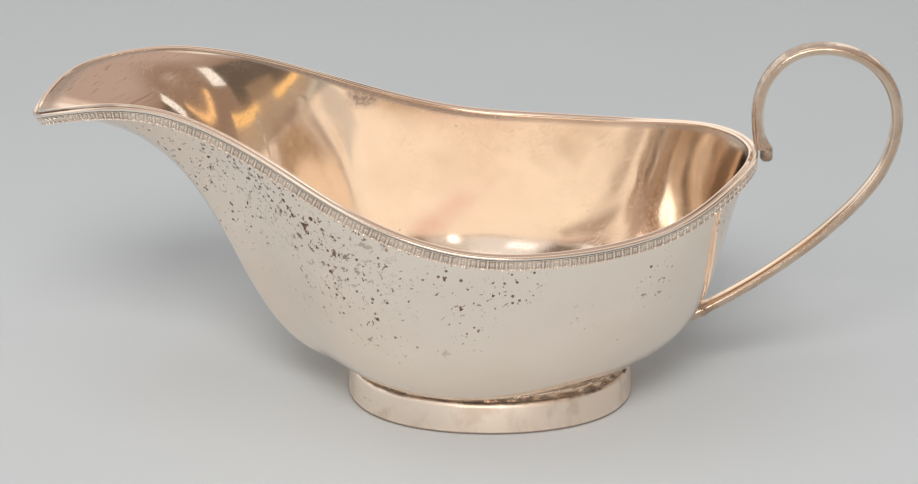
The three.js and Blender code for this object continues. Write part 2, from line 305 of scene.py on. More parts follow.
def lattice(rows, columns, close_rows=False):
    """Four-sided faces over rows of points, where each row is a closed ring."""
    faces = []
    for i in range(rows if close_rows else rows - 1):
        for j in range(columns):
            k, i2 = (j + 1) % columns, (i + 1) % rows
            faces.append((i * columns + j, i * columns + k, i2 * columns + k, i2 * columns + j))
    return faces


def make_piece(name, points, faces, material, nodes, slot, sharp, **marks):
    """Makes one closed mesh that stands for CAD nodes. marks are numbers kept for each vertex."""
    mesh = bpy.data.meshes.new(name)
    mesh.from_pydata((np.asarray(points) * MM).tolist(), [], faces)
    for mark, values in marks.items():
        mesh.attributes.new(mark, "FLOAT", "POINT").data.foreach_set(
            "value", np.asarray(values, np.float32).ravel())
    shape = bmesh.new()
    shape.from_mesh(mesh)
    bmesh.ops.recalc_face_normals(shape, faces=shape.faces)
    shape.to_mesh(mesh)
    shape.free()
    mesh.shade_smooth()
    mesh.set_sharp_from_angle(angle=math.radians(sharp))
    mesh.materials.append(material)
    piece = bpy.data.objects.new(name, mesh)
    bpy.context.scene.collection.objects.link(piece)
    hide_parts(*nodes)
    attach(piece, "root")


# ---- Shader maths -------------------------------------------------------------------------

class Value:
    """A socket in a material, so that maths on it reads as an expression."""

    def __init__(self, shader, socket):
        self.shader, self.socket = shader, socket

    def of(self, name):
        """Another output of the same node."""
        return Value(self.shader, self.socket.node.outputs[name])

    def _math(self, operation, a, b):
        return self.shader.node("ShaderNodeMath", {"operation": operation}, {0: a, 1: b})

    def __add__(self, other):
        return self._math("ADD", self, other)

    def __sub__(self, other):
        return self._math("SUBTRACT", self, other)

    def __rsub__(self, other):
        return self._math("SUBTRACT", other, self)

    def __mul__(self, other):
        return self._math("MULTIPLY", self, other)

    def __pow__(self, other):
        return self._math("POWER", self, other)

    def __or__(self, other):
        """The larger of two masks."""
        return self._math("MAXIMUM", self, other)

    __radd__ = __add__
    __rmul__ = __mul__


class Shader:
    """A material or world under construction."""

    def __init__(self, tree):
        self.tree = tree
        tree.nodes.clear()

    def node(self, kind, settings=None, inputs=None, out=0):
        """Adds a node: its settings first, then the values or links of its sockets."""
        made = self.tree.nodes.new(kind)
        for key, value in (settings or {}).items():
            setattr(made, key, value)
        for key, value in (inputs or {}).items():
            if isinstance(value, Value):
                self.tree.links.new(value.socket, made.inputs[key])
            else:
                made.inputs[key].default_value = value
        return Value(self, made.outputs[out] if made.outputs else None)

    def place(self):
        """The point being shaded, in millimetres of the frame."""
        return self.scaled(self.node("ShaderNodeTexCoord", out="Object"), (1000, 1000, 1000))

    def axes(self, vector):
        """The vector taken apart, for of("X"), of("Y") and of("Z")."""
        return self.node("ShaderNodeSeparateXYZ", None, {0: vector})

    def scaled(self, vector, factors):
        """The vector stretched along its axes."""
        return self.node("ShaderNodeVectorMath", {"operation": "MULTIPLY"}, {0: vector, 1: factors})

    def turned(self, vector, turn, factors):
        """The vector turned by Euler angles in degrees and then stretched along its axes."""
        rotated = self.node("ShaderNodeVectorRotate", {"rotation_type": "EULER_XYZ"},
                            {"Vector": vector, "Rotation": [math.radians(a) for a in turn]})
        return self.scaled(rotated, factors)

    def noise(self, vector, scale, detail=3.0, roughness=0.55):
        """Smooth noise from 0 to 1."""
        return self.node("ShaderNodeTexNoise", None, {
            "Vector": vector, "Scale": scale, "Detail": detail, "Roughness": roughness}, "Fac")

    def step(self, value, low, high):
        """A soft step from 0 at low to 1 at high."""
        return self.node("ShaderNodeMapRange", {"interpolation_type": "SMOOTHSTEP"}, {
            "Value": value, "From Min": low, "From Max": high})

    def mark(self, name):
        """A number that the mesh keeps for each of its vertices."""
        return self.node("ShaderNodeAttribute", {"attribute_name": name}, None, "Fac")

    def blend(self, factor, first, second):
        """first where the factor is 0 and second where it is 1, as colours."""
        pair = {6: self.colour(first), 7: self.colour(second)}
        return self.node("ShaderNodeMix", {"data_type": "RGBA"}, {0: factor, **pair}, 2)

    @staticmethod
    def colour(value):
        """A colour as a socket takes it."""
        return value if isinstance(value, Value) else (*value[:3], 1)

    def near(self, point, centre, radius):
        """1 at the centre of a spot in millimetres, falling to 0 at its radius."""
        away = self.node("ShaderNodeVectorMath", {"operation": "DISTANCE"}, {0: point, 1: centre},
                         "Value")
        return 1 - self.step(away, radius * 0.35, radius)


def hairlines(shader, point, turn, fineness, share):
    """Thin straight scratches that run one way; share is how much of the surface they take."""
    lines = shader.noise(shader.turned(point, turn, (0.09, fineness, fineness)), 1.0, 2.0)
    where = shader.noise(point, 0.11, 2.0)
    return shader.step(lines, 0.60, 0.70) * shader.step(where, 0.62 - share, 0.72 - share)


def silver(name, finish, tarnish, rough, hair, film=None):
    """Polished silver. tarnish and film are functions of the shader and the place, giving masks of
    tarnish and film, some with painted shade in them.
    """
    material = bpy.data.materials.new(name)
    material.use_nodes = True
    shader = Shader(material.node_tree)
    point = shader.place()
    smudge = shader.noise(point, 0.09, 4.0, 0.6)
    fine = hairlines(shader, point, (10, 35, 20), 5.0, 0.25)
    cross = hairlines(shader, point, (-25, -30, 65), 6.5, 0.2)
    worn = (fine + cross) * hair
    warm = shader.step(shader.noise(shader.scaled(point, (1, 1, 1.6)), 0.045, 3.0), 0.35, 0.75)
    colour = shader.blend(warm * 0.55, finish.tint, finish.film_tint)
    # film gives a brown film, and also painted shade on the bowl's outer ends and a painted
    # reflection on the handle's flanks
    if film:
        colour = shader.blend(film(shader, point), colour, finish.brown_film_and_shade)
    roughness = rough + shader.step(smudge, 0.35, 0.75) * 0.06 + worn * 0.09
    height = worn * -0.6 + shader.noise(point, 1.6, 3.0, 0.6) * 0.35
    # tarnish gives tarnish, and also painted shade on the foot's bottom edge and the handle's inner
    # edge and joints
    dirt = tarnish(shader, point)
    patchy = shader.noise(point, 1.3, 3.0)
    stain_and_shade = shader.blend(shader.step(patchy, 0.35, 0.65), finish.tarnish_and_shade_brown,
                         finish.tarnish_and_shade_black)
    colour = shader.blend(dirt, colour, stain_and_shade)
    roughness = roughness + dirt * 0.3
    metallic = 1 - dirt * 0.7
    height = height + dirt * 0.8
    normal = shader.node("ShaderNodeBump", None, {
        "Strength": 0.22, "Distance": 0.00003, "Height": height}, "Normal")
    surface = shader.node("ShaderNodeBsdfPrincipled", None, {
        "Base Color": colour, "Metallic": metallic, "Roughness": roughness, "Normal": normal},
        "BSDF")
    shader.node("ShaderNodeOutputMaterial", None, {"Surface": surface})
    return material


def dots(shader, point, scale, size, channel=0):
    """Small round spots of tarnish, one at most to each cell."""
    cells = shader.node("ShaderNodeTexVoronoi", None, {
        "Vector": point, "Scale": scale, "Randomness": 1.0}, "Distance")
    chance = shader.node("ShaderNodeSeparateColor", None, {0: cells.of("Color")}, channel)
    reach = size * shader.step(chance, 0.35, 1.0)
    return shader.step(reach - cells.of("Distance"), 0.0, 0.06)


def flecks(shader, point, turn, factors, share):
    """Irregular flecks or strokes of tarnish; share is how much of the surface they take."""
    shape = shader.noise(shader.turned(point, turn, factors), 1.0, 4.0, 0.62)
    return shader.step(shape, 0.70 - share, 0.73 - share)


# Brown stains inside the bowl, as centres and radii, and a wide smudge under its far rim.
STAINS = (((38.0, 38.0, 36.0), 2.8), ((25.0, 43.0, 47.0), 1.4))
SMUDGE = ((-14.3, 38.0, 59.5), 4.2)
SMUDGE_SHAPE = (0.55, 1, 1)


def bowl_tarnish(shader, point):
    """Specks over the outer wall, thickest below the lip, dirt under the band, stains inside, and a
    darker line inside just under the rim.
    """
    along = shader.axes(point).of("X")
    inside = shader.mark("inside")
    wall = shader.mark("wall")
    outside = 1 - inside
    towards_lip = 1 - shader.step(along, -38.0, 30.0)
    crowd = shader.noise(shader.scaled(point, (1, 1, 0.8)), 0.085, 3.0, 0.62)
    thick = shader.step(crowd + towards_lip * 0.17 + wall * 0.08, 0.595, 0.66)
    belt = shader.step(wall + towards_lip * 0.20, 0.60, 0.80) * shader.step(along, -84.0, -68.0)
    patches = flecks(shader, point, (0, 20, 0), (0.42, 0.46, 0.36), 0.055)
    strokes = flecks(shader, point, (20, 38, 0), (0.26, 1.15, 1.15), 0.05)
    falls = flecks(shader, point, (0, -72, 10), (0.26, 1.2, 1.2), 0.045)
    small = dots(shader, point, 0.62, 0.27)
    rare = dots(shader, shader.scaled(point, (1, 1, 1.5)), 0.24, 0.085, 2)
    marks = patches | strokes | falls | small * 0.9
    crust_at = shader.step(along, -66.0, -52.0) * (1 - shader.step(along, -34.0, -12.0))
    crust = crust_at * shader.step(wall, 0.60, 0.80) * flecks(
        shader, point, (10, 30, 0), (0.4, 0.7, 0.7), 0.125)
    specks = (marks * thick * belt | crust | rare * 0.75) * outside
    broken = shader.step(
        shader.noise(shader.scaled(point, (0.7, 0.7, 0.7)), 0.2, 2.0), 0.50, 0.58)
    seam = shader.step(wall, 0.955, 0.97) * broken * outside
    foot = (1 - shader.step(wall, 0.012, 0.05)) * shader.step(
        shader.noise(point, 0.2, 2.0), 0.45, 0.62) * outside * 0.8
    stains = shader.near(point, *STAINS[0]) | shader.near(point, *STAINS[1])
    ragged = shader.step(shader.noise(point, 0.8, 3.0), 0.40, 0.62)
    smudge = shader.near(shader.scaled(point, SMUDGE_SHAPE), *SMUDGE)
    # a darker line inside, just under the rim, stronger towards the lip
    rim_line = shader.step(wall, 0.968, 0.99) * (0.6 - shader.step(along, -5.0, 20.0) * 0.3)
    within = (stains * ragged * 0.9 | smudge * (0.3 + ragged * 0.35) | rare * 0.45
              | rim_line) * inside
    return specks | seam | foot | within


def bowl_film_and_shade(shader, point):
    """A scuffed brown film inside the spout, and painted shade outside at both ends, where the wall
    mirrors the dimmer floor.
    """
    along = shader.axes(point).of("X")
    lip = 1 - shader.step(along, -95.0, -25.0)
    scuffs = hairlines(shader, point, (15, 25, -38), 2.4, 0.45)
    # painted shade: the outer wall darker towards both ends, for the dim floor it mirrors there
    ends = (1 - shader.step(along, -85.0, -45.0)) | shader.step(along, 38.0, 72.0)
    inside = shader.mark("inside")
    return lip * inside * (0.25 + scuffs * 0.55) | ends * (1 - inside) * 0.38


def wire_tarnish(shader, point):
    """Dark polish left in the flute between the beads."""
    patchy = shader.noise(shader.scaled(point, (0.5, 0.5, 0.5)), 0.3, 3.0)
    return shader.mark("hollow") ** 2 * (0.35 + shader.step(patchy, 0.4, 0.65) * 0.45)


def band_tarnish(shader, point):
    """Dirt in the cuts of the milled band."""
    patchy = shader.noise(point, 0.12, 3.0)
    return shader.mark("hollow") * (0.34 + shader.step(patchy, 0.35, 0.65) * 0.36)


def collar_tarnish(shader, point):
    """Blotches along the soldered joint of the foot."""
    blotch = shader.noise(shader.scaled(point, (1, 1, 2)), 0.22, 3.0, 0.65)
    along = shader.axes(point).of("X")
    return shader.step(blotch, 0.46, 0.60) * (0.45 + shader.step(along, 5.0, 22.0) * 0.25)


def foot_film(shader, point):
    """Uneven warm film over the foot's face."""
    cloudy = shader.noise(shader.scaled(point, (1, 1, 0.6)), 0.13, 4.0, 0.6)
    return shader.step(cloudy, 0.48, 0.66) * 0.4


def foot_tarnish_and_shade(shader, point):
    """A dark line of painted shade along the foot's bottom edge, where it stands on the floor;
    brown marks along its top edge and a few on its face.
    """
    axes = shader.axes(point)
    up, along = axes.of("Z"), axes.of("X")
    # painted shade: an even dark band along the bottom edge, at the floor
    edge = 1 - shader.step(up, 0.25, 0.6)
    joint = shader.step(up, 6.9, 7.4)
    right = shader.step(along, 14.0, 30.0)
    blotch = shader.step(shader.noise(point, 0.16, 3.0), 0.45, 0.62)
    marks = dots(shader, point, 0.24, 0.06)
    smears = flecks(shader, point, (0, 0, 25), (0.22, 0.22, 0.7), 0.03)
    return edge * 0.8 | joint * blotch * (0.6 + right * 0.35) | marks * 0.7 | smears * 0.45


def handle_tarnish_and_shade(shader, point):
    """Tarnish on the loop's inner side and round both joints, with painted shade in it: a darker
    inner edge and dark creases at the joints.
    """
    # inner and joint carry tarnish and painted shade: a darker inner edge and dark creases at the
    # joints
    turns = shader.mark("inner")
    ends = shader.mark("joint")
    patchy = shader.step(shader.noise(point, 0.25, 3.0), 0.42, 0.62)
    return turns * (0.2 + patchy * 0.45) | ends * (0.25 + patchy * 0.5)


def handle_flank_reflection(shader, point):
    """A painted reflection: both flanks of the loop browner, for the brown room they mirror,
    lighter along their inner and outer edges.
    """
    patchy = shader.step(shader.noise(point, 0.12, 3.0), 0.3, 0.65)
    return shader.mark("side") * (0.7 + patchy * 0.3)


# ---- Settings -----------------------------------------------------------------------------

class BoatSizes(bpy.types.PropertyGroup):
    """How finely each piece is drawn, and its small unevenness."""

    stations: IntProperty(
        name="Rim stations", description="Divisions along half of the rim", default=132, min=24)
    wall_rings: IntProperty(
        name="Wall rings", description="Rings between the foot and the rim", default=46, min=8)
    hammering: FloatProperty(
        name="Hammering", description="Unevenness of the raised bowl", default=0.000012,
        unit="LENGTH", subtype="DISTANCE", precision=6)
    cut_depth: FloatProperty(
        name="Milling depth", description="Depth of the cuts in the milled band",
        default=0.00024, unit="LENGTH", subtype="DISTANCE", precision=6)


class SilverFinish(bpy.types.PropertyGroup):
    """Colours of the silver and of its tarnish and film, which also colour the painted shade."""

    tint: FloatVectorProperty(
        name="Silver", description="Clean polished silver", subtype="COLOR",
        default=(0.965, 0.855, 0.745), min=0, max=1)
    film_tint: FloatVectorProperty(
        name="Light film", description="Silver under a faint film", subtype="COLOR",
        default=(0.90, 0.775, 0.655), min=0, max=1)
    # brown film colour; it also paints the shade on the bowl's outer ends and the reflection on the
    # handle's flanks
    brown_film_and_shade: FloatVectorProperty(
        name="Brown film", description="Silver under a brown film", subtype="COLOR",
        default=(0.60, 0.44, 0.32), min=0, max=1)
    # tarnish colours; they also paint the shade along the foot's bottom edge and on the handle's
    # inner edge and joints
    tarnish_and_shade_brown: FloatVectorProperty(
        name="Brown tarnish", description="Thin patches of tarnish", subtype="COLOR",
        default=(0.20, 0.085, 0.04), min=0, max=1)
    tarnish_and_shade_black: FloatVectorProperty(
        name="Black tarnish", description="Thick patches of tarnish", subtype="COLOR",
        default=(0.07, 0.042, 0.028), min=0, max=1)


class StageSettings(bpy.types.PropertyGroup):
    """Floor, light and camera."""

    floor: FloatVectorProperty(
        name="Floor", description="Colour of the paper floor", subtype="COLOR",
        default=(0.60, 0.612, 0.612), min=0, max=1)
    room: FloatVectorProperty(
        name="Room", description="Dim brown room that the silver mirrors", subtype="COLOR",
        default=(0.33, 0.225, 0.165), min=0, max=1)
    ceiling: FloatVectorProperty(
        name="Ceiling", description="Ceiling that the silver mirrors", subtype="COLOR",
        default=(0.55, 0.43, 0.375), min=0, max=1)
    ambient: FloatVectorProperty(
        name="Ambient", description="Even light from all round", subtype="COLOR",
        default=(0.395, 0.405, 0.415), min=0, max=1)
    backdrop: FloatVectorProperty(
        name="Backdrop", description="Paper beyond the floor", subtype="COLOR",
        default=(0.50, 0.52, 0.52), min=0, max=1)
    light: FloatProperty(
        name="Front light", description="Power of the softbox over the camera in watts",
        default=11.0, min=0)
    top_light: FloatProperty(
        name="Top light", description="Power of the softbox over the boat in watts",
        default=0.9, min=0)
    elevation: FloatProperty(
        name="Camera height", description="Angle of the camera above the floor",
        default=math.radians(24.5), unit="ROTATION", subtype="ANGLE")
    distance: FloatProperty(
        name="Camera distance", description="From the camera to the middle of the boat",
        default=0.6, unit="LENGTH", subtype="DISTANCE")
    lens: FloatProperty(
        name="Lens", description="Focal length for a 36 mm wide picture", default=100.9,
        unit="CAMERA")


# ---- Pieces -------------------------------------------------------------------------------

class SAUCEBOAT_OT_bowl(bpy.types.Operator):
    """Raise the bowl with its spout, as one thin wall"""

    bl_idname = "sauceboat.bowl"
    bl_label = "Bowl"

    def execute(self, context):
        sizes, finish = context.scene.boat_sizes, context.scene.silver_finish
        v = rim_at(np.linspace(0, 1, sizes.stations + 1))
        levels = FLOOR_LEVELS + [i / sizes.wall_rings for i in range(sizes.wall_rings + 1)]
        depth = sizes.hammering / MM
        outer, inner = [], []
        for t in levels:
            shift = planished(bowl_outer(v, t), depth * min(1, (1 - t) * 8))[:, None]
            normal = bowl_normals(v, t)
            outer.append(full_ring(bowl_outer(v, t) + shift * normal))
            inner.append(full_ring(bowl_inner(v, t) + shift * normal))
        rings = outer + inner[::-1]
        size = len(rings[0])
        bottom = [OVAL_X, 0, BOWL_BOTTOM_Z]
        floor = [OVAL_X, 0, BOWL_BOTTOM_Z + WALL]
        points = np.vstack([*rings, bottom, floor])
        middle = len(rings) * size
        faces = lattice(len(rings), size)
        faces += [(middle, (j + 1) % size, j) for j in range(size)]
        faces += [(middle + 1, middle - size + j, middle - size + (j + 1) % size)
                  for j in range(size)]
        wall = np.repeat(levels + levels[::-1], size)
        inside = np.repeat([0.0] * len(outer) + [1.0] * len(inner), size)
        material = silver("polished_bowl_silver", finish, bowl_tarnish, 0.085, 0.85, bowl_film_and_shade)
        make_piece("raised_bowl", points, faces, material, ["bowl"], "bowl_silver", 50,
                   wall=[*wall, -1, -1], inside=[*inside, 0, 1])
        return {"FINISHED"}


def rim_strip(fractions, sections, side):
    """Points of a strip along half of the rim, one section of (outward, down) pairs each."""
    v = rim_at(fractions)
    columns = sections.shape[1]
    points = np.stack([on_rim(v, sections[:, k, 0], sections[:, k, 1]) for k in range(columns)],
                      axis=1)
    points[:, :, 1] = side * (np.maximum(points[:, :, 1], 0) + SEAM_HALF)
    rows = len(fractions)
    faces = lattice(rows, columns)
    faces += [tuple(range(columns)), tuple(range((rows - 1) * columns, rows * columns))]
    return points.reshape(-1, 3), faces


def wire_section():
    """Two round beads with a flute between them, and how deep each point lies in the flute."""
    inner, outer = WIRE["inner"] + BEAD, WIRE["outer"] - BEAD
    pairs = [(WIRE["inner"] + WIRE_BEVEL, WIRE["under"]),
             (WIRE["inner"], WIRE["under"] - WIRE_BEVEL)]
    pairs += [(inner + BEAD * math.cos(a), BEAD - BEAD * math.sin(a))
              for a in np.radians(np.arange(180, 34, -14.5))]
    edge = pairs[-1]
    for share in np.linspace(0.12, 0.88, 9):
        out = edge[0] + share * (outer - inner - 2 * (edge[0] - inner))
        pairs.append((out, edge[1] + (WIRE["flute"] - edge[1]) * math.sin(math.pi * share) ** 0.8))
    pairs += [(outer - (out - inner), down) for out, down in pairs[-10:1:-1]
              if down < BEAD + 0.3 and out <= edge[0]]
    pairs += [(WIRE["outer"], WIRE["under"] - WIRE_BEVEL),
              (WIRE["outer"] - WIRE_BEVEL, WIRE["under"])]
    hollow = [max(0.0, 1 - abs(out - (inner + outer) / 2) / FLUTE_HALF) for out, _ in pairs]
    return np.array(pairs), np.array(hollow)


class SAUCEBOAT_OT_rim_wires(bpy.types.Operator):
    """Lay the two-bead wire along both halves of the rim"""

    bl_idname = "sauceboat.rim_wires"
    bl_label = "Rim wires"

    def execute(self, context):
        sizes, finish = context.scene.boat_sizes, context.scene.silver_finish
        section, hollow = wire_section()
        fractions = np.linspace(0, 1, sizes.stations * 2 + 1)
        sections = np.repeat(section[None], len(fractions), axis=0)
        tip = np.clip((fractions - LIP_FLUTE["from"]) / LIP_FLUTE["opens"], 0, 1)
        tip = tip * np.clip((1 - fractions) / LIP_FLUTE["closes"], 0, 1)
        sections[:, :, 1] += (tip[:, None] * hollow ** 0.5) * LIP_FLUTE["deeper"]
        dark = np.minimum(hollow[None] * (1 + LIP_FLUTE["darker"] * tip[:, None]), 1.5)
        material = silver("fluted_wire_silver", finish, wire_tarnish, 0.11, 0.35)
        for name, side in (("back", 1), ("front", -1)):
            points, faces = rim_strip(fractions, sections, side)
            make_piece(f"fluted_wire_{name}", points, faces, material, [f"rim_wire_{name}"],
                       "bright_silver", 60, hollow=dark)
        return {"FINISHED"}


# One milled box: places along and across it, and the depth of the cut at each as a share, for the
# frame line, the groove, the inner box and the slot in that box.
BOX_PLACES = np.array([0, 0.05, 0.10, 0.17, 0.25, 0.32, 0.42, 0.46, 0.54, 0.58, 0.68, 0.75, 0.83,
                       0.90, 0.95])
BOX_ALONG = np.array([0, 0, 0.1, 1, 1, 0.15, 0.15, 0.7, 0.7, 0.15, 0.15, 1, 1, 0.1, 0])
BOX_ACROSS = np.array([0, 0, 0.1, 1, 1, 0.15, 0, 0, 0, 0, 0.15, 1, 1, 0.1, 0, 0])
# How far in from a box's edge its frame reaches and its inner box begins, as shares of the box.
BOX_FRAME = 0.1
BOX_INNER = 0.28


def milled_depths(boxes):
    """Places along and across a row of milled boxes, and the depth of the cut at each."""
    across = np.append(BOX_PLACES, 1.0)
    fractions = np.append((np.arange(boxes)[:, None] + BOX_PLACES).ravel() / boxes, 1.0)
    rows = np.append(np.tile(BOX_ALONG, boxes), 0.0)
    in_frame = (BOX_ACROSS == 0) & ((across < BOX_FRAME) | (across > 1 - BOX_FRAME))
    inner = (across > BOX_INNER) & (across < 1 - BOX_INNER)
    depths = np.maximum(rows[:, None], BOX_ACROSS[None])
    depths = np.where(inner[None], rows[:, None], np.where(in_frame[None], 0, depths))
    return fractions, across, np.where((rows == 0)[:, None], 0, depths)


class SAUCEBOAT_OT_milled_bands(bpy.types.Operator):
    """Mill the small boxes of the band under the wire"""

    bl_idname = "sauceboat.milled_bands"
    bl_label = "Milled bands"

    def execute(self, context):
        sizes, finish = context.scene.boat_sizes, context.scene.silver_finish
        fractions, across, depths = milled_depths(round(RIM_LENGTH / BAND["pitch"]))
        down = BAND["top"] + (BAND["bottom"] - BAND["top"]) * across
        front = np.stack([-sizes.cut_depth / MM * depths, np.broadcast_to(down, depths.shape)],
                         axis=2)
        back = np.broadcast_to([[BAND["back"], BAND["bottom"]], [BAND["back"], BAND["top"]]],
                               (len(fractions), 2, 2))
        sections = np.concatenate([back, front], axis=1)
        hollow = np.concatenate([np.zeros((len(fractions), 2)), depths], axis=1)
        material = silver("milled_band_silver", finish, band_tarnish, 0.2, 0.3)
        for name, side in (("back", 1), ("front", -1)):
            points, faces = rim_strip(fractions, sections, side)
            make_piece(f"milled_strip_{name}", points, faces, material, [f"milled_band_{name}"],
                       "milled_silver", 40, hollow=hollow)
        return {"FINISHED"}


def rounded_profile(rows, radius, steps=4):
    """A closed profile of (half length, half width, height) rows with its corners rounded."""
    rows = np.array(rows, float)
    made = []
    for i, corner in enumerate(rows):
        before, after = rows[i - 1] - corner, rows[(i + 1) % len(rows)] - corner
        lengths = [np.linalg.norm(d[[0, 2]]) for d in (before, after)]
        start, end = (corner + d * min(radius / n, CORNER_SHARE)
                      for d, n in zip((before, after), lengths))
        for t in np.linspace(0, 1, steps + 1):
            made.append(start * (1 - t) ** 2 + corner * 2 * t * (1 - t) + end * t * t)
    return np.array(made)


class SAUCEBOAT_OT_foot(bpy.types.Operator):
    """Turn the oval foot and the soldered collar that joins it to the bowl"""

    bl_idname = "sauceboat.foot"
    bl_label = "Foot"

    def execute(self, context):
        finish = context.scene.silver_finish
        angles = np.linspace(0, 2 * np.pi, OVAL_COLUMNS, endpoint=False)
        pieces = (
            ("foot_fillet", COLLAR, "foot_collar", "seam_silver", 0.035, 0.45,
             silver("solder_silver", finish, collar_tarnish, 0.22, 0.3)),
            ("oval_foot", FOOT, "foot_band", "bright_silver", 0.015, 0.3,
             silver("foot_silver", finish, foot_tarnish_and_shade, 0.35, 0.8, foot_film)),
        )
        for name, rows, node, slot, uneven, radius, material in pieces:
            rings = [oval(a, b, z, angles) for a, b, z in rounded_profile(rows, radius)]
            points = np.vstack(rings)
            outward = unit(points - (OVAL_X, 0, 0)) * (1, 1, 0)
            points += outward * planished(points * WAVE_SCALE, uneven)[:, None]
            points[:, 2] = np.maximum(points[:, 2], 0)
            make_piece(name, points, lattice(len(rings), len(angles), close_rows=True), material,
                       [node], slot, 50)
        return {"FINISHED"}


def rod_ring(u, across, sideways):
    """A ring across the handle's rod at the place u of its centre line, and the line's heading."""
    ends = along_spline(HANDLE_LINE, [
        max(u - SPLINE_STEP, 0), u, min(u + SPLINE_STEP, HANDLE_SPANS)])
    along = unit(ends[2] - ends[0])
    x = ends[1][0] + HANDLE["thick"] / 2 * across * along[1]
    z = ends[1][1] - HANDLE["thick"] / 2 * across * along[0]
    return np.stack([x, HANDLE["wide"] / 2 * sideways, z], axis=1), along


def wall_spot(heading):
    """A place just off the wall where the centre line ends, and the way out of the wall there."""
    end = along_spline(HANDLE_LINE, HANDLE_SPANS)[0]
    levels = np.linspace(0, 0.6, 601)  # the wall's lower part, finely divided
    line = np.array([bowl_outer(np.array([0.0]), t)[0][[0, 2]] for t in levels])
    miss = np.abs((line[:, 0] - end[0]) * heading[1] - (line[:, 1] - end[1]) * heading[0])
    at = int(np.argmin(miss))
    up = unit(line[at + 2] - line[at - 2])
    out = np.array([up[1], -up[0]])
    return line[at] + out * WALL_JOINT["gap"], out


def handle_rings(across, sideways):
    """Rings of the handle from its heel at the rim to the wall, and each one's share of a joint."""
    heel = [HEEL[a] + (HEEL[b] - HEEL[a]) * t for a, b, shares in HEEL_RINGS for t in shares]
    rings = [np.stack([(low + high) / 2 + (high - low) / 2 * across, half * sideways,
                       np.full(len(across), z)], axis=1) for low, high, half, z in heel]
    joint = [1.0] * len(rings)
    _, heading = rod_ring(HANDLE_SPANS, across, sideways)
    spot, wall_out = wall_spot(heading)
    for u in np.linspace(0, HANDLE_SPANS, HANDLE_ROWS):
        ring, _ = rod_ring(u, across, sideways)
        swell = 1.0
        if u < HANDLE_SPANS / 2:
            low = ring[:, 2].min()
            kept = low > HEEL_TOP["height"]
            near = 1 - (low - HEEL_TOP["tarnish"]) / HEEL_TOP["fade"]
        else:
            clear = ((ring[:, [0, 2]] - spot) @ wall_out).min()
            kept = clear > WALL_JOINT["clear"]
            near = 1 - clear / WALL_JOINT["fade"]
            swell += WALL_JOINT["swell"] * max(0.0, 1 - clear / WALL_JOINT["swell_from"]) ** 2
        if kept:
            middle = ring.mean(axis=0)
            rings.append(middle + (ring - middle) * swell)
            joint.append(max(0.0, near))
    # The last ring slides along the rod until it lies on the wall.
    slide = -((rings[-1][:, [0, 2]] - spot) @ wall_out) / (heading @ wall_out)
    rings.append(rings[-1] + slide[:, None] * np.array([heading[0], 0, heading[1]]))
    return rings, [*joint, 1.0]


class SAUCEBOAT_OT_handle(bpy.types.Operator):
    """Bend the loop handle and join it to the rim and the wall"""

    bl_idname = "sauceboat.handle"
    bl_label = "Handle"

    def execute(self, context):
        finish = context.scene.silver_finish
        count = HANDLE_COLUMNS
        angles = 2 * np.pi * (np.arange(count) + 0.5) / count
        power = 2 / HANDLE["squareness"]
        across, sideways = (np.sign(a) * np.abs(a) ** power
                            for a in (np.cos(angles), np.sin(angles)))
        rings, joint = handle_rings(across, sideways)
        faces = lattice(len(rings), count)
        faces += [tuple(range(count)), tuple(range((len(rings) - 1) * count, len(rings) * count))]
        material = silver("handle_silver", finish, handle_tarnish_and_shade, 0.12, 0.5, handle_flank_reflection)
        # inner and joint are tarnish with painted shade; side marks the flanks for their painted
        # reflection
        make_piece("loop_handle", np.vstack(rings), faces, material, ["handle"], "bright_silver",
                   55, inner=np.tile(np.clip(-across, 0, 1), len(rings)),
                   joint=np.repeat(joint, count),
                   side=np.tile(np.clip(1.6 - 1.9 * np.abs(across), 0, 1), len(rings)))
        return {"FINISHED"}


# ---- Stage --------------------------------------------------------------------------------

# Places and sizes of the stage, in metres.
FLOOR_HALF = 6.0
FLOOR_DROP = 0.0001  # how far the paper lies below the table's height
LIGHT_TARGET = (0, 0, 0.04)
VIEW_TARGET = (-0.0021, 0, 0.0374)
FRONT_SOFTBOX = {"place": (-0.08, -0.92, 1.0), "size": (0.55, 0.42), "colour": (1.0, 0.985, 0.97)}
TOP_SOFTBOX = {"place": (-0.18, -0.08, 0.75), "size": (0.5, 0.4), "colour": (1.0, 0.99, 0.98)}


def aim(thing, target):
    """Points a light or the camera at a place."""
    thing.rotation_euler = (Vector(target) - thing.location).to_track_quat("-Z", "Y").to_euler()


def soft_light(name, place, size, colour, power):
    """A softbox that lights the boat and its floor but isn't seen or mirrored."""
    data = bpy.data.lights.new(name, "AREA")
    data.shape, data.size, data.size_y = "RECTANGLE", *size
    data.energy, data.color = power, colour
    light = bpy.data.objects.new(name, data)
    light.location = place
    aim(light, LIGHT_TARGET)
    light.visible_camera = light.visible_glossy = False
    bpy.context.scene.collection.objects.link(light)


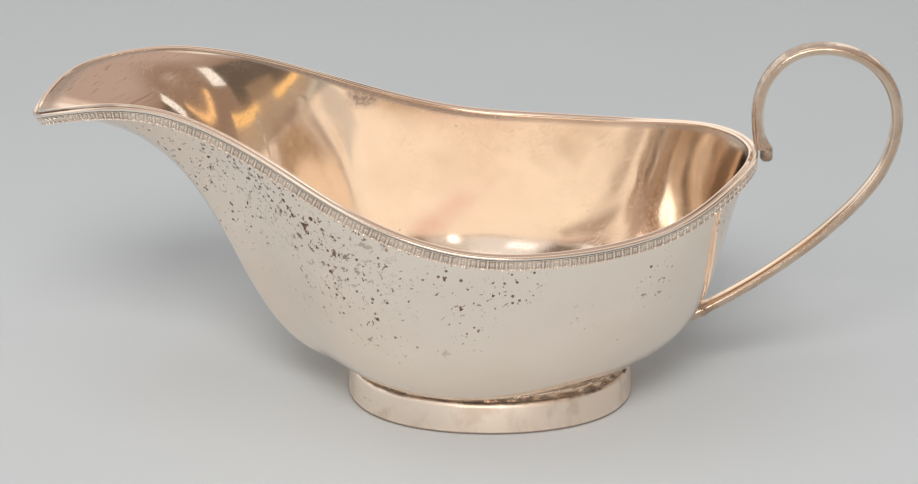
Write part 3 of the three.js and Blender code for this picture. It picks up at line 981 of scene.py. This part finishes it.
def studio_world(settings):
    """An even pale backdrop, and the room that polished silver mirrors."""
    world = bpy.data.worlds.new("studio")
    world.use_nodes = True
    bpy.context.scene.world = world
    sky = Shader(world.node_tree)
    axes = sky.axes(sky.node("ShaderNodeTexCoord", out="Generated"))
    degrees = 180 / math.pi
    turn = sky.node("ShaderNodeMath", {"operation": "ARCTAN2"},
                    {0: axes.of("X"), 1: axes.of("Y")}) * degrees
    rise = sky.node("ShaderNodeMath", {"operation": "ARCSINE"}, {0: axes.of("Z")}) * degrees

    def patch(low, high, bottom, top, soft):
        """A mask over a part of the room, by degrees round from +Y to +X and up."""
        across = sky.step(turn, low, low + soft) * (1 - sky.step(turn, high - soft, high))
        upright = sky.step(rise, bottom, bottom + soft) * (1 - sky.step(rise, top - soft, top))
        return across * upright

    room = sky.blend(sky.step(rise, 38, 75), settings.room, settings.ceiling)
    for low, high, bottom, top, soft, colour in ROOM:
        room = sky.blend(patch(low, high, bottom, top, soft), room, colour)
    path = sky.node("ShaderNodeLightPath", out="Is Glossy Ray")
    light = sky.node("ShaderNodeBackground", None, {
        "Color": sky.blend(path, settings.ambient, room), "Strength": 1.0})
    plain = sky.node("ShaderNodeBackground", None, {
        "Color": (*settings.backdrop, 1), "Strength": 1.0})
    either = sky.node("ShaderNodeMixShader", None, {
        0: path.of("Is Camera Ray"), 1: light, 2: plain})
    sky.node("ShaderNodeOutputWorld", None, {"Surface": either})


class SAUCEBOAT_OT_stage(bpy.types.Operator):
    """Set the pale floor, the soft lights and the camera"""

    bl_idname = "sauceboat.stage"
    bl_label = "Stage"

    def execute(self, context):
        settings = context.scene.boat_stage
        scene = context.scene
        paper = bpy.data.materials.new("pale_paper")
        paper.use_nodes = True
        shader = Shader(paper.node_tree)
        point = shader.place()
        mottle = shader.noise(point, 0.012, 3.0)
        colour = shader.blend(mottle, [c * 0.97 for c in settings.floor],
                              [min(1, c * 1.03) for c in settings.floor])
        grain = shader.noise(point, 1.2, 4.0)
        fibre = shader.node("ShaderNodeBump", None, {
            "Strength": 0.15, "Distance": 0.0001, "Height": grain}, "Normal")
        surface = shader.node("ShaderNodeBsdfPrincipled", None, {
            "Base Color": colour, "Roughness": 0.85, "Normal": fibre}, "BSDF")
        shader.node("ShaderNodeOutputMaterial", None, {"Surface": surface})
        mesh = bpy.data.meshes.new("paper_floor")
        corners = [(-1, -1), (1, -1), (1, 1), (-1, 1)]
        mesh.from_pydata([(x * FLOOR_HALF, y * FLOOR_HALF, 0) for x, y in corners], [],
                         [(0, 1, 2, 3)])
        mesh.materials.append(paper)
        floor = bpy.data.objects.new("paper_floor", mesh)
        floor.location = (0, 0, -FLOOR_DROP)
        scene.collection.objects.link(floor)

        studio_world(settings)
        soft_light("front_softbox", **FRONT_SOFTBOX, power=settings.light)
        soft_light("top_softbox", **TOP_SOFTBOX, power=settings.top_light)

        data = bpy.data.cameras.new("view")
        data.sensor_width, data.lens = 36, settings.lens
        data.clip_start, data.clip_end = 0.01, 50
        camera = bpy.data.objects.new("view", data)
        e = settings.elevation
        away = Vector((0, -math.cos(e), math.sin(e)))
        camera.location = Vector(VIEW_TARGET) + settings.distance * away
        aim(camera, VIEW_TARGET)
        scene.collection.objects.link(camera)
        scene.camera = camera
        scene.view_settings.view_transform = "Standard"
        return {"FINISHED"}


class SAUCEBOAT_PT_panel(bpy.types.Panel):
    """The sauce boat's pieces, sizes and finish"""

    bl_label = "Sauce Boat"
    bl_idname = "SAUCEBOAT_PT_panel"
    bl_space_type = "VIEW_3D"
    bl_region_type = "UI"
    bl_category = "Sauce Boat"

    def draw(self, context):
        layout = self.layout
        for group, names in (
            (context.scene.boat_sizes, ("stations", "wall_rings", "hammering", "cut_depth")),
            (context.scene.silver_finish,
             ("tint", "film_tint", "brown_film_and_shade", "tarnish_and_shade_brown", "tarnish_and_shade_black")),
            (context.scene.boat_stage,
             ("floor", "room", "ceiling", "ambient", "backdrop", "light", "top_light",
              "elevation", "distance", "lens")),
        ):
            box = layout.box()
            for name in names:
                box.prop(group, name)
        for operator in OPERATORS:
            layout.operator(operator.bl_idname)


OPERATORS = (SAUCEBOAT_OT_bowl, SAUCEBOAT_OT_rim_wires, SAUCEBOAT_OT_milled_bands,
             SAUCEBOAT_OT_foot, SAUCEBOAT_OT_handle, SAUCEBOAT_OT_stage)
GROUPS = {"boat_sizes": BoatSizes, "silver_finish": SilverFinish, "boat_stage": StageSettings}


def register():
    """Makes the settings, the operators and the panel known."""
    for made in (*GROUPS.values(), *OPERATORS, SAUCEBOAT_PT_panel):
        bpy.utils.register_class(made)
    for name, group in GROUPS.items():
        setattr(bpy.types.Scene, name, PointerProperty(type=group))


def unregister():
    """Takes them back out."""
    for name in GROUPS:
        delattr(bpy.types.Scene, name)
    for made in (SAUCEBOAT_PT_panel, *reversed(OPERATORS), *GROUPS.values()):
        bpy.utils.unregister_class(made)


def main():
    """Builds every piece and the stage."""
    register()
    bpy.ops.sauceboat.bowl()
    bpy.ops.sauceboat.rim_wires()
    bpy.ops.sauceboat.milled_bands()
    bpy.ops.sauceboat.foot()
    bpy.ops.sauceboat.handle()
    bpy.ops.sauceboat.stage()
    bpy.context.view_layer.update()


if __name__ == "__main__":
    main()
